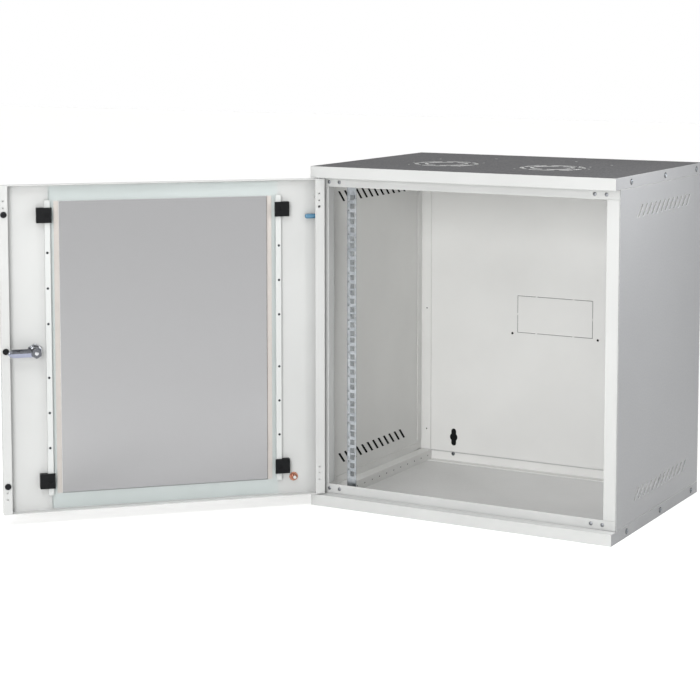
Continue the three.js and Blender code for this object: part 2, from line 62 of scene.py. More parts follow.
def colour(code, alpha=1.0):
    """The linear colour of an sRGB hex value."""
    parts = [int(code[i:i + 2], 16) / 255 for i in (1, 3, 5)]
    return tuple(c / 12.92 if c <= 0.04045 else ((c + 0.055) / 1.055) ** 2.4 for c in parts) + (alpha,)


def add(tree, kind, inputs=None, **settings):
    """One node with its settings; inputs maps a socket's name or number to a value or an output."""
    node = tree.nodes.new(kind)
    for key, value in settings.items():
        setattr(node, key, value)
    for key, value in (inputs or {}).items():
        if isinstance(value, bpy.types.NodeSocket):
            tree.links.new(value, node.inputs[key])
        else:
            node.inputs[key].default_value = value
    return node


def new_material(name):
    """An empty node material and its tree."""
    material = bpy.data.materials.new(name)
    material.use_nodes = True
    material.node_tree.nodes.clear()
    return material, material.node_tree


world = bpy.data.worlds.new("studio")
world.use_nodes = True
world.node_tree.nodes.clear()
look = add(world.node_tree, "ShaderNodeTexCoord").outputs["Generated"]
across = add(world.node_tree, "ShaderNodeSeparateXYZ", {0: look})
from_left = add(world.node_tree, "ShaderNodeMapRange", {
    "Value": across.outputs[0], "From Min": -0.12, "From Max": 0.22, "To Min": 1.0, "To Max": 0.06})
from_behind = add(world.node_tree, "ShaderNodeMapRange", {
    "Value": across.outputs[1], "From Min": 0.05, "From Max": 0.45, "To Min": 0.12, "To Max": 1.06})
wash = add(world.node_tree, "ShaderNodeMath", {0: from_left.outputs[0], 1: from_behind.outputs[0]},
           operation="MULTIPLY")
overhead = add(world.node_tree, "ShaderNodeMapRange", {
    "Value": across.outputs[2], "From Min": 0.58, "From Max": 0.78, "To Min": 0.0, "To Max": 1.75})
glow = add(world.node_tree, "ShaderNodeMath", {0: wash.outputs[0], 1: overhead.outputs[0]},
           operation="MAXIMUM")
seen = add(world.node_tree, "ShaderNodeLightPath")
strength = add(world.node_tree, "ShaderNodeMix", {
    "Factor": seen.outputs["Is Camera Ray"], 2: glow.outputs[0], 3: 1.0}, data_type="FLOAT")
surround = add(world.node_tree, "ShaderNodeBackground", {
    "Color": colour("#ffffff"), "Strength": strength.outputs[0]})
add(world.node_tree, "ShaderNodeOutputWorld", {"Surface": surround.outputs[0]})
bpy.context.scene.world = world
bpy.context.scene.view_settings.view_transform = "Standard"

floor_mesh = bpy.data.meshes.new("floor")
floor_half = 14.0
floor_mesh.from_pydata(
    [(-floor_half, -floor_half, 0), (floor_half, -floor_half, 0),
     (floor_half, floor_half, 0), (-floor_half, floor_half, 0)],
    [], [(0, 1, 2, 3)])
floor = bpy.data.objects.new("floor", floor_mesh)
bpy.context.scene.collection.objects.link(floor)
floor_paper, floor_tree = new_material("matt white seamless paper")
paper = add(floor_tree, "ShaderNodeBsdfPrincipled", {
    "Base Color": colour("#fbfbfa"), "Roughness": 0.95, "Specular IOR Level": 0.1})
add(floor_tree, "ShaderNodeOutputMaterial", {"Surface": paper.outputs[0]})
floor_mesh.materials.append(floor_paper)


def soft_lamp(name, place, target, size, power):
    """A square soft lamp at a place, facing a target."""
    data = bpy.data.lights.new(name, "AREA")
    data.shape = "SQUARE"
    data.size = size
    data.energy = power
    lamp = bpy.data.objects.new(name, data)
    lamp.location = place
    lamp.rotation_euler = (Vector(target) - Vector(place)).to_track_quat("-Z", "Y").to_euler()
    bpy.context.scene.collection.objects.link(lamp)
    return lamp


soft_lamp("front lamp", (1.0, -4.4, 1.2), (-0.15, 0.0, 0.3), 1.5, 112)
soft_lamp("high lamp", (0.1, -2.4, 2.2), (0.0, 0.0, 0.2), 0.9, 22)
side_lamp = soft_lamp("side lamp", (0.75, -0.2, 0.95), (0.3, -0.1, 0.5), 0.3, 5.5)
side_lamp.visible_camera = False

# ---------------------------------------------------------------------------------------------
# Top and bottom covers. Pressed 1.5 mm steel trays with a turned lip, powder coated grey; the top
# one is pierced with knock-out rings for two fans and their screw holes.

mm = 0.001
cabinet_width = 600.0
cabinet_height = 638.0
to_row = Matrix.Translation((-0.3, -0.225, 0.0)) @ Matrix.Scale(mm, 4)


def finished(name, bm, material, body, nodes, smooth_angle=35.0):
    """A bmesh in row metres becomes a finished piece that stands for its CAD nodes."""
    mesh = bpy.data.meshes.new(name)
    bm.to_mesh(mesh)
    bm.free()
    for finish in (material if isinstance(material, (list, tuple)) else [material]):
        mesh.materials.append(finish)
    for face in mesh.polygons:
        face.use_smooth = True
    mesh.set_sharp_from_angle(angle=math.radians(smooth_angle))
    piece = bpy.data.objects.new(name, mesh)
    bpy.context.scene.collection.objects.link(piece)
    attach(piece, body)
    if nodes:
        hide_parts(*nodes)
    return piece


def coated(node, material):
    """The node's own sheet keeps its shape and takes its finish."""
    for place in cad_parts[node].material_slots:
        place.material = material


def powder_coat(name, code, wear="#e2e2e0", shade=0.94, shine=0.4):
    """Powder-coated steel: an even satin skin with a fine orange peel and slightly rubbed edges."""
    material, tree = new_material(name)
    place = add(tree, "ShaderNodeTexCoord").outputs["Object"]
    # Orange peel is about 1 mm across; drawn at 3 mm so that it still shows.
    peel = add(tree, "ShaderNodeTexNoise", {"Vector": place, "Scale": 330.0, "Detail": 2.0})
    cloud = add(tree, "ShaderNodeTexNoise", {"Vector": place, "Scale": 5.0, "Detail": 3.0})
    base = colour(code)
    deeper = tuple(c * shade for c in base[:3]) + (1.0,)
    tone = add(tree, "ShaderNodeMix", {
        "Factor": add(tree, "ShaderNodeMapRange", {
            "Value": cloud.outputs[0], "From Min": 0.35, "From Max": 0.65}).outputs[0],
        6: base, 7: deeper}, data_type="RGBA")
    soft = add(tree, "ShaderNodeBevel", {"Radius": 0.0012}, samples=4)
    face = add(tree, "ShaderNodeNewGeometry")
    turn = add(tree, "ShaderNodeVectorMath", {0: soft.outputs[0], 1: face.outputs["Normal"]},
               operation="DOT_PRODUCT")
    rubbed = add(tree, "ShaderNodeMapRange", {
        "Value": turn.outputs["Value"], "From Min": 0.985, "From Max": 0.90, "To Max": 0.55})
    skin = add(tree, "ShaderNodeMix", {
        "Factor": rubbed.outputs[0], 6: tone.outputs[2], 7: colour(wear)}, data_type="RGBA")
    sheen = add(tree, "ShaderNodeMapRange", {
        "Value": peel.outputs[0], "From Min": 0.3, "From Max": 0.7, "To Min": 0.40, "To Max": 0.52})
    bump = add(tree, "ShaderNodeBump", {
        "Height": peel.outputs[0], "Strength": 0.12, "Distance": 0.0002, "Normal": soft.outputs[0]})
    coat = add(tree, "ShaderNodeBsdfPrincipled", {
        "Base Color": skin.outputs[2], "Roughness": sheen.outputs[0], "Normal": bump.outputs[0],
        "IOR": 1.5, "Specular IOR Level": shine})
    add(tree, "ShaderNodeOutputMaterial", {"Surface": coat.outputs[0]})
    return material


grey_coat = powder_coat("light grey powder coat", "#b9bab9")
# A dark, nearly unreflecting copy of the grey coat for the top's upper side: painted shade, as the top gets
# little light.
shaded_top_coat = powder_coat("grey powder coat darkened as painted shade, upper side", "#3a3a3c", wear="#656567", shade=0.86, shine=0.04)


# A darker copy of the grey coat for the right side: painted shade, as that side is turned from the lamps.
right_side_shade_coat = powder_coat("grey powder coat darkened as painted shade, right side", "#898a8c", shade=0.96)
# A lighter copy of the grey coat for the inner faces of panels, rear posts and rails: painted light, as
# little lamp light reaches inside.
inside_light_coat = powder_coat("grey powder coat lightened as painted light, inside", "#dcdcda")
# A lighter copy again for the cabinet's inner floor: painted light.
inside_floor_light_coat = powder_coat("grey powder coat lightened as painted light, inside bottom", "#cbcbca")


right_edge = 299.8 * mm


def tray(node):
    """A welded copy of a cover's sheet, so that its sides can take different coats; the right side takes a
    darker copy of the grey coat as painted shade.
    """
    bm = bmesh.new()
    bm.from_mesh(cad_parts[node].data)
    bmesh.ops.remove_doubles(bm, verts=bm.verts, dist=2e-6)
    for face in bm.faces:
        on_right = face.normal.x > 0.9 and face.calc_center_median().x > right_edge
        face.material_index = 1 if on_right else 0
    return bm


top = tray("top_cover")
upper = max(v.co.z for v in top.verts)
for face in top.faces:
    # The upper side takes the darker coat, painted shade for a top that gets little light; the cut edges of
    # its slots keep the first.
    if face.normal.z > 0.9 and face.calc_center_median().z > upper - 0.6 * mm:
        face.material_index = 2
finished("top_tray", top, [grey_coat, right_side_shade_coat, shaded_top_coat], "cabinet", ["top_cover"], 20.0)
bottom = tray("bottom_cover")
# The inner floor of the bottom tray takes the lighter coat as painted light.
for face in bottom.faces:
    if face.normal.z > 0.9 and face.calc_center_median().z < 2.0 * mm:
        face.material_index = 2
finished("bottom_tray", bottom, [grey_coat, right_side_shade_coat, inside_floor_light_coat], "cabinet",
         ["bottom_cover"], 20.0)

# ---------------------------------------------------------------------------------------------
# Side and rear panels. Flat powder-coated sheets between the covers: the sides are pierced with
# slanted vent slots, the rear with keyholes for the wall screws and a cable knock-out.

# Near-black sheets with a fine woven texture fill the holes: painted shade for the dark seen through vent
# slots, keyholes and small holes.
hole_shade_sheet, hole_shade_tree = new_material("black sheet painting the shade seen through holes")
hole_shade_place = add(hole_shade_tree, "ShaderNodeTexCoord").outputs["Object"]
# The weave has a 1 mm pitch.
weave = add(hole_shade_tree, "ShaderNodeTexVoronoi", {"Vector": hole_shade_place, "Scale": 1000.0, "Randomness": 0.1})
thread = add(hole_shade_tree, "ShaderNodeMix", {
    "Factor": weave.outputs["Distance"], 6: colour("#0c0c0d"), 7: colour("#17181a")}, data_type="RGBA")
dull = add(hole_shade_tree, "ShaderNodeMapRange", {
    "Value": weave.outputs["Distance"], "To Min": 0.85, "To Max": 0.98})
knots = add(hole_shade_tree, "ShaderNodeBump", {
    "Height": weave.outputs["Distance"], "Strength": 0.3, "Distance": 0.0002})
hole_shade_surface = add(hole_shade_tree, "ShaderNodeBsdfPrincipled", {
    "Base Color": thread.outputs[2], "Roughness": dull.outputs[0], "Normal": knots.outputs[0],
    "Specular IOR Level": 0.15})
add(hole_shade_tree, "ShaderNodeOutputMaterial", {"Surface": hole_shade_surface.outputs[0]})


shade_sheet_near = 1.15
shade_sheet_far = 1.45
widest_hole = 250 * mm


def shade_filled(node, axis, outer, inward):
    """Thin dark sheets let into every hole of a panel, just inside the panel's outer face: painted shade
    for the dark seen through the holes.
    """
    bm = bmesh.new()
    bm.from_mesh(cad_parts[node].data)
    bmesh.ops.remove_doubles(bm, verts=bm.verts, dist=2e-6)
    skin = {f for f in bm.faces
            if abs(f.normal[axis]) > 0.9 and abs(f.calc_center_median()[axis] - outer) < 0.1 * mm}
    rims = [e for e in bm.edges if len(skin & set(e.link_faces)) == 1]
    out = bmesh.new()
    left = set(rims)
    while left:
        loop = [left.pop()]
        ends = [loop[0].verts[0], loop[0].verts[1]]
        while ends[-1] is not ends[0]:
            step = next(e for e in ends[-1].link_edges if e in left)
            left.remove(step)
            ends.append(step.other_vert(ends[-1]))
        points = [v.co.copy() for v in ends[:-1]]
        if max((p - points[0]).length for p in points) > widest_hole:
            continue
        middle = sum(points, Vector()) / len(points)
        for depth in (shade_sheet_near, shade_sheet_far):
            shift = Vector()
            shift[axis] = inward * depth * mm
            ring = [out.verts.new(middle + (p - middle) * 0.998 + shift) for p in points]
            out.faces.new(ring if depth == shade_sheet_near else list(reversed(ring)))
    bm.free()
    faces = list(out.faces)
    for front, back in zip(faces[0::2], faces[1::2]):
        a = list(front.verts)
        b = list(reversed(list(back.verts)))
        for i in range(len(a)):
            j = (i + 1) % len(a)
            out.faces.new((a[i], a[j], b[j], b[i]))
    bmesh.ops.recalc_face_normals(out, faces=out.faces)
    bmesh.ops.triangulate(out, faces=[f for f in out.faces if len(f.verts) > 4])
    return out


# The left side and rear panels take the lighter coat as painted light.
coated("side_panel_left", inside_light_coat)
# The right side panel takes the darker coat as painted shade.
coated("side_panel_right", right_side_shade_coat)
coated("rear_panel", inside_light_coat)
# Dark sheets in the holes of the left side, the rear, a side rail and a rear post paint the shade seen
# through them.
for node, axis, outer, inward in (("side_panel_left", 0, -300 * mm, 1), ("rear_panel", 1, 225 * mm, -1),
                                  ("side_rail_bottom_left", 0, -275 * mm, 1),
                                  ("rear_post_left", 1, 223.1 * mm, -1)):
    hole_shade = shade_filled(node, axis, outer, inward)
    mesh = bpy.data.meshes.new("hole_shade")
    hole_shade.to_mesh(mesh)
    hole_shade.free()
    mesh.materials.append(hole_shade_sheet)
    piece = bpy.data.objects.new(f"gauze_{node}", mesh)
    bpy.context.scene.collection.objects.link(piece)
    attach(piece, "cabinet")

# ---------------------------------------------------------------------------------------------
# Frame. Folded steel posts and rails, riveted at the front corners and coated with the panels.

for end in ("bottom", "top"):
    coated(f"front_rail_{end}", grey_coat)
# The front posts take the grey coat; the rear posts and the side and rear rails take the lighter coat as
# painted light.
for side in ("left", "right"):
    coated(f"front_post_{side}", grey_coat)
    coated(f"rear_post_{side}", inside_light_coat)
    for end in ("bottom", "top"):
        coated(f"side_rail_{end}_{side}", inside_light_coat)
coated("rear_rail_bottom", inside_light_coat)

# ---------------------------------------------------------------------------------------------
# 19-inch profiles. Galvanised strip bent to an angle, punched every rack unit with three square
# holes for cage nuts and two small slots, with a foot at each end screwed to the side rails.


def row_tree(name):
    """Repeats the incoming mesh along a line: the tree behind screws, rivets and punched strips."""
    tree = bpy.data.node_groups.new(name, "GeometryNodeTree")
    face = tree.interface
    face.new_socket("Piece", in_out="INPUT", socket_type="NodeSocketGeometry")
    for label, kind in (("Count", "NodeSocketInt"), ("Pitch", "NodeSocketVector"),
                        ("Turn", "NodeSocketFloat"), ("Seed", "NodeSocketInt"),
                        ("Finish", "NodeSocketMaterial")):
        face.new_socket(label, in_out="INPUT", socket_type=kind)
    face.new_socket("Row", in_out="OUTPUT", socket_type="NodeSocketGeometry")
    inputs = add(tree, "NodeGroupInput").outputs
    line = add(tree, "GeometryNodeMeshLine", {"Count": inputs["Count"], "Offset": inputs["Pitch"]},
               mode="OFFSET")
    random = add(tree, "FunctionNodeRandomValue", {
        "Min": 0.0, "Max": 1.0, "Seed": inputs["Seed"]}, data_type="FLOAT")
    spin = add(tree, "ShaderNodeMath", {0: random.outputs[1], 1: inputs["Turn"]}, operation="MULTIPLY")
    angle = add(tree, "ShaderNodeCombineXYZ", {"Z": spin.outputs[0]})
    placed = add(tree, "GeometryNodeInstanceOnPoints", {
        "Points": line.outputs[0], "Instance": inputs["Piece"], "Rotation": angle.outputs[0]})
    real = add(tree, "GeometryNodeRealizeInstances", {0: placed.outputs[0]})
    dressed = add(tree, "GeometryNodeSetMaterial", {
        "Geometry": real.outputs[0], "Material": inputs["Finish"]})
    add(tree, "NodeGroupOutput", {"Row": dressed.outputs[0]})
    return tree


row_of = row_tree("row of pieces")


def repeated(bm, count, pitch, material, turn=0.0, seed=0):
    """The bmesh repeated by the row tree, as a new bmesh in the same units."""
    mesh = bpy.data.meshes.new("unit")
    bm.to_mesh(mesh)
    bm.free()
    holder = bpy.data.objects.new("unit", mesh)
    bpy.context.scene.collection.objects.link(holder)
    modifier = holder.modifiers.new("row", "NODES")
    modifier.node_group = row_of
    sockets = {s.name: s.identifier for s in row_of.interface.items_tree if s.in_out == "INPUT"}
    modifier[sockets["Count"]] = count
    modifier[sockets["Pitch"]] = pitch
    modifier[sockets["Turn"]] = turn
    modifier[sockets["Seed"]] = seed
    modifier[sockets["Finish"]] = material
    graph = bpy.context.evaluated_depsgraph_get()
    row = bpy.data.meshes.new_from_object(holder.evaluated_get(graph))
    holder.modifiers.remove(modifier)
    bpy.data.objects.remove(holder)
    out = bmesh.new()
    out.from_mesh(row)
    bpy.data.meshes.remove(row)
    return out


def galvanised(name):
    """Hot-dip zinc on steel: bright metal broken into cool, slightly duller and lighter spangles."""
    material, tree = new_material(name)
    place = add(tree, "ShaderNodeTexCoord").outputs["Object"]
    # Spangles are 4 to 8 mm across on thin strip.
    spangle = add(tree, "ShaderNodeTexVoronoi", {"Vector": place, "Scale": 170.0, "Randomness": 1.0})
    grain = add(tree, "ShaderNodeTexNoise", {"Vector": place, "Scale": 600.0, "Detail": 3.0})
    grey = add(tree, "ShaderNodeSeparateColor", {0: spangle.outputs["Color"]})
    tint = add(tree, "ShaderNodeMix", {
        "Factor": grey.outputs[0], 6: colour("#9da2a7"), 7: colour("#b9bdc1")}, data_type="RGBA")
    rough = add(tree, "ShaderNodeMapRange", {
        "Value": grey.outputs[1], "To Min": 0.28, "To Max": 0.46})
    soft = add(tree, "ShaderNodeBevel", {"Radius": 0.0006}, samples=4)
    bump = add(tree, "ShaderNodeBump", {
        "Height": grain.outputs[0], "Strength": 0.15, "Distance": 0.0001, "Normal": soft.outputs[0]})
    zinc = add(tree, "ShaderNodeBsdfPrincipled", {
        "Base Color": tint.outputs[2], "Metallic": 1.0, "Roughness": rough.outputs[0],
        "Normal": bump.outputs[0]})
    add(tree, "ShaderNodeOutputMaterial", {"Surface": zinc.outputs[0]})
    return material


zinc_strip = galvanised("galvanised strip")
unit = 44.45
units = 12
bend = 1.5
arc = bend * math.pi / 2
strip_thick = 1.5
profile_face = (55.5, 75.0)
profile_front = 38.0
profile_back = {"left": 0.0, "right": 150.0}
outer_return = 26.0
profile_low = 23.0
profile_high = 615.0
hole_half = 4.75
hole_x = 67.45
hole_steps = (6.35, 22.225, 38.1)
slot_x = (58.2, 61.0)
slot_steps = (14.3, 30.2)
slot_half = 2.0
run_out = outer_return - bend
run_face = profile_face[1] - profile_face[0] - bend


def flat_column(x):
    """Where a place on the face lies along the unbent strip."""
    return run_out + arc + (x - profile_face[0] - bend)


columns = sorted([
    0.0, run_out, run_out + arc / 3, run_out + 2 * arc / 3, run_out + arc,
    flat_column(slot_x[0]), flat_column(slot_x[1]),
    flat_column(hole_x - hole_half), flat_column(hole_x + hole_half), run_out + arc + run_face])


def bent(u):
    """The place of the strip's outer skin once it is bent round its long corner."""
    x0 = profile_face[0]
    if u <= run_out:
        return x0, profile_front + outer_return - u
    if u <= run_out + arc:
        a = (u - run_out) / bend
        return x0 + bend - bend * math.cos(a), profile_front + bend - bend * math.sin(a)
    return x0 + bend + u - run_out - arc, profile_front


def strip_grid(rows, holes):
    """A flat stretch of strip in columns and rows, left open where a hole is punched."""
    bm = bmesh.new()
    points = [[bm.verts.new((u, 0.0, z)) for u in columns] for z in rows]
    for j in range(len(rows) - 1):
        for i in range(len(columns) - 1):
            u = (columns[i] + columns[i + 1]) / 2
            z = (rows[j] + rows[j + 1]) / 2
            if any(a < u < b and c < z < d for a, b, c, d in holes):
                continue
            bm.faces.new((points[j][i], points[j][i + 1], points[j + 1][i + 1], points[j + 1][i]))
    return bm


punched = [(flat_column(hole_x - hole_half), flat_column(hole_x + hole_half), s - hole_half, s + hole_half)
           for s in hole_steps]
punched += [(flat_column(slot_x[0]), flat_column(slot_x[1]), s - slot_half, s + slot_half)
            for s in slot_steps]
unit_rows = sorted({0.0, unit} | {v for h in punched for v in h[2:]})
first_unit = 319.0 - units * unit / 2
foot_from = (6.0, 40.0)
foot_size = (68.5, 23.5, 1.5)
foot_heights = (21.0, 615.5)
for side in ("left", "right"):
    strip = repeated(strip_grid(unit_rows, punched), units, (0.0, 0.0, unit), zinc_strip)
    bmesh.ops.translate(strip, verts=strip.verts, vec=(0.0, 0.0, first_unit))
    for rows in ((profile_low, first_unit), (first_unit + units * unit, profile_high)):
        plain = strip_grid(rows, [])
        end_mesh = bpy.data.meshes.new("strip end")
        plain.to_mesh(end_mesh)
        plain.free()
        strip.from_mesh(end_mesh)
        bpy.data.meshes.remove(end_mesh)
    bmesh.ops.remove_doubles(strip, verts=strip.verts, dist=0.01)
    for v in strip.verts:
        x, y = bent(v.co.x)
        v.co.x = x
        v.co.y = y
    bmesh.ops.recalc_face_normals(strip, faces=strip.faces)
    front = next(f for f in strip.faces if abs(f.calc_center_median().y - profile_front) < 0.01)
    if front.normal.y > 0:
        bmesh.ops.reverse_faces(strip, faces=strip.faces)
    skin = bpy.data.meshes.new("strip skin")
    strip.to_mesh(skin)
    strip.free()
    holder = bpy.data.objects.new("strip skin", skin)
    bpy.context.scene.collection.objects.link(holder)
    wall = holder.modifiers.new("wall", "SOLIDIFY")
    wall.thickness = strip_thick
    wall.offset = -1.0
    wall.use_even_offset = True
    solid = bpy.data.meshes.new_from_object(
        holder.evaluated_get(bpy.context.evaluated_depsgraph_get()))
    holder.modifiers.remove(wall)
    bpy.data.objects.remove(holder)
    profile = bmesh.new()
    profile.from_mesh(solid)
    for low_side in foot_heights:
        foot = bmesh.ops.create_cube(profile, size=1.0)["verts"]
        for v in foot:
            v.co = Vector((foot_from[0] + (v.co.x + 0.5) * foot_size[0],
                           foot_from[1] + (v.co.y + 0.5) * foot_size[1],
                           low_side + (v.co.z + 0.5) * foot_size[2]))
        rim = list({e for v in foot for e in v.link_edges})
        bmesh.ops.bevel(profile, geom=rim, offset=0.3, segments=2, affect="EDGES")
    for v in profile.verts:
        v.co.y += profile_back[side]
        if side == "right":
            v.co.x = cabinet_width - v.co.x
    if side == "right":
        bmesh.ops.reverse_faces(profile, faces=profile.faces)
    profile.transform(to_row)
    finished(f"profile_{side}", profile, zinc_strip, "cabinet",
             [f"rack_profile_{side}"])

# ---------------------------------------------------------------------------------------------
# Cover screws and frame rivets. Zinc-plated cross-recess pan heads over thin black rings, painted shadow
# round each head, hold the covers to the side rails, and domed blind rivets hold the front rails to the
# ears of the posts.


def turned(profile, sides=32, across_flats=None):
    """A turned piece about Z from (radius, height) steps, closed on its axis or on itself."""
    bm = bmesh.new()
    closed = profile[0] == profile[-1]
    steps = profile[:-1] if closed else profile
    rings = []
    for r, h in steps:
        ring = []
        for i in range(sides if r > 0 else 1):
            a = 2 * math.pi * i / sides
            limit = r
            if across_flats:
                part = (a + math.pi / 6) % (math.pi / 3) - math.pi / 6
                limit = min(r, across_flats / 2 / math.cos(part))
            ring.append(bm.verts.new((limit * math.cos(a), limit * math.sin(a), h)))
        rings.append(ring)
    count = len(rings)
    for k in range(count if closed else count - 1):
        a, b = rings[k], rings[(k + 1) % count]
        for i in range(sides):
            j = (i + 1) % sides
            corners = [a[i % len(a)], a[j % len(a)], b[j % len(b)], b[i % len(b)]]
            unique = list(dict.fromkeys(corners))
            if len(unique) > 2:
                bm.faces.new(unique)
    bmesh.ops.recalc_face_normals(bm, faces=bm.faces)
    return bm


def plated(name, code, rough=(0.22, 0.36), grain_mm=2.0):
    """Bright plating on small turned steel: smooth metal with faint handling haze."""
    material, tree = new_material(name)
    place = add(tree, "ShaderNodeTexCoord").outputs["Object"]
    haze = add(tree, "ShaderNodeTexNoise", {"Vector": place, "Scale": 1000.0 / grain_mm, "Detail": 3.0})
    spread = add(tree, "ShaderNodeMapRange", {
        "Value": haze.outputs[0], "From Min": 0.3, "From Max": 0.7, "To Min": rough[0], "To Max": rough[1]})
    light = colour(code)
    dull = tuple(c * 0.86 for c in light[:3]) + (1.0,)
    tint = add(tree, "ShaderNodeMix", {"Factor": haze.outputs[0], 6: light, 7: dull}, data_type="RGBA")
    bump = add(tree, "ShaderNodeBump", {"Height": haze.outputs[0], "Strength": 0.06, "Distance": 0.0001})
    metal = add(tree, "ShaderNodeBsdfPrincipled", {
        "Base Color": tint.outputs[2], "Metallic": 1.0, "Roughness": spread.outputs[0],
        "Normal": bump.outputs[0]})
    add(tree, "ShaderNodeOutputMaterial", {"Surface": metal.outputs[0]})
    return material


def moulded(name, code, grain_mm=1.0, rough=(0.42, 0.6), strength=0.25, shine=0.15):
    """Injection-moulded plastic or rubber with a fine sparked texture."""
    material, tree = new_material(name)
    place = add(tree, "ShaderNodeTexCoord").outputs["Object"]
    spark = add(tree, "ShaderNodeTexNoise", {"Vector": place, "Scale": 1000.0 / grain_mm, "Detail": 2.0})
    sheen = add(tree, "ShaderNodeMapRange", {
        "Value": spark.outputs[0], "From Min": 0.3, "From Max": 0.7,
        "To Min": rough[0], "To Max": rough[1]})
    light = colour(code)
    dark = tuple(c * 0.8 for c in light[:3]) + (1.0,)
    tint = add(tree, "ShaderNodeMix", {"Factor": spark.outputs[0], 6: light, 7: dark}, data_type="RGBA")
    soft = add(tree, "ShaderNodeBevel", {"Radius": 0.0006}, samples=4)
    bump = add(tree, "ShaderNodeBump", {
        "Height": spark.outputs[0], "Strength": strength, "Distance": 0.0001, "Normal": soft.outputs[0]})
    body = add(tree, "ShaderNodeBsdfPrincipled", {
        "Base Color": tint.outputs[2], "Roughness": sheen.outputs[0], "Normal": bump.outputs[0],
        "Specular IOR Level": shine})
    add(tree, "ShaderNodeOutputMaterial", {"Surface": body.outputs[0]})
    return material


screw_zinc = plated("zinc-plated steel", "#868a8e")
screw_shadow_black = moulded("black ring painting the shadow around screw heads", "#0d0e0f")
screw_steps = (74.0, 244.0, 414.0)
screw_height = 10.5
row_names = ("front", "middle", "rear")


def screw_head():
    """A pan head with a cross recess, its underside at height 0 and a stub of shank below it."""
    head = turned([(0.0, 2.35), (1.1, 2.35), (2.2, 2.2), (3.1, 1.75), (3.7, 1.0), (3.9, 0.0),
                   (2.0, 0.0), (2.0, -6.0), (0.0, -6.4)], 24)
    for v in head.verts:
        r = math.hypot(v.co.x, v.co.y)
        if v.co.z > 1.9 and r < 2.5:
            lobe = abs(math.cos(2 * math.atan2(v.co.y, v.co.x)))
            if r < 0.5 or (lobe > 0.8 and r < 2.3):
                v.co.z -= 1.5
    return head


def shadow_ring():
    """A thin black ring that the screw head sits on: painted shadow around the head."""
    return turned([(3.2, 0.45), (4.9, 0.45), (5.2, 0.25), (5.2, 0.02), (3.2, 0.02), (3.2, 0.45)], 24)


for side in ("left", "right"):
    for end in ("bottom", "top"):
        row = repeated(screw_head(), 3, (170.0, 0.0, 0.0), screw_zinc, math.pi / 2,
                       seed=7 + len(side) + 3 * len(end))
        shadow_rings = repeated(shadow_ring(), 3, (170.0, 0.0, 0.0), screw_shadow_black)
        z = screw_height if end == "bottom" else cabinet_height - screw_height
        out = 1.0 if side == "right" else -1.0
        lay = Matrix(((0, 0, out, cabinet_width if side == "right" else 0.0),
                      (1, 0, 0, screw_steps[0]),
                      (0, out, 0, z),
                      (0, 0, 0, 1)))
        shadow_rings.transform(to_row @ lay)
        bmesh.ops.recalc_face_normals(shadow_rings, faces=shadow_rings.faces)
        finished(f"cover_screw_shadows_{end}_{side}", shadow_rings, screw_shadow_black, "cabinet", [])
        row.transform(to_row @ lay)
        bmesh.ops.recalc_face_normals(row, faces=row.faces)
        finished(f"cover_screws_{end}_{side}", row, screw_zinc, "cabinet",
                 [f"cover_screw_{end}_{side}_{n}" for n in row_names])

rail_screw_x = 77.4
rail_screw_y = 446.6
rail_screw_z = 17.5
rail_pitch = cabinet_width - 2 * rail_screw_x
rail_row = repeated(screw_head(), 2, (rail_pitch, 0.0, 0.0), screw_zinc)
rail_row.transform(to_row @ Matrix(((1, 0, 0, rail_screw_x), (0, 0, -1, rail_screw_y),
                                    (0, 1, 0, rail_screw_z), (0, 0, 0, 1))))
bmesh.ops.recalc_face_normals(rail_row, faces=rail_row.faces)
finished("rear_rail_screws", rail_row, screw_zinc, "cabinet", [])

rivet_first = 26.0
rivet_pitch = 21.5
rivet_height = 30.0
frame_front = 24.0
rivet_steel = plated("bare rivet steel", "#8e9094", (0.3, 0.45))
for side in ("left", "right"):
    for end in ("bottom", "top"):
        head = turned([(0.0, 0.7), (0.9, 0.7), (1.1, 1.35), (1.7, 1.3), (2.7, 0.95), (3.3, 0.45),
                       (3.5, 0.0), (1.6, 0.0), (1.6, -3.0), (2.5, -3.0), (2.2, -5.2), (0.0, -5.6)], 24)
        row = repeated(head, 2, (rivet_pitch, 0.0, 0.0), rivet_steel, 0.0)
        z = rivet_height if end == "bottom" else cabinet_height - rivet_height
        x = rivet_first if side == "left" else cabinet_width - rivet_first - rivet_pitch
        lay = Matrix(((1, 0, 0, x), (0, 0, -1, frame_front), (0, 1, 0, z), (0, 0, 0, 1)))
        row.transform(to_row @ lay)
        bmesh.ops.recalc_face_normals(row, faces=row.faces)
        finished(f"frame_rivets_{end}_{side}", row, rivet_steel, "cabinet",
                 [f"frame_rivet_{end}_{side}_{n}" for n in ("outer", "inner")])

# ---------------------------------------------------------------------------------------------
# Door. A folded steel pan with a large window, turned-in stiles and small punched holes, hung on
# two pins at the left; coated like the cabinet.

open_angle = math.radians(134.8)
hinge = Vector((11.5, 9.5, 0.0))
to_door = (to_row @ Matrix.Translation(hinge) @ Matrix.Rotation(-open_angle, 4, "Z")
           @ Matrix.Translation(-hinge))
coated("door_frame", grey_coat)

# ---------------------------------------------------------------------------------------------
# Pane. One sheet of 4 mm toughened glass with ground edges, clear where it laps the door skin and
# tinted grey across the window, a painted shade that darkens what is seen through it.


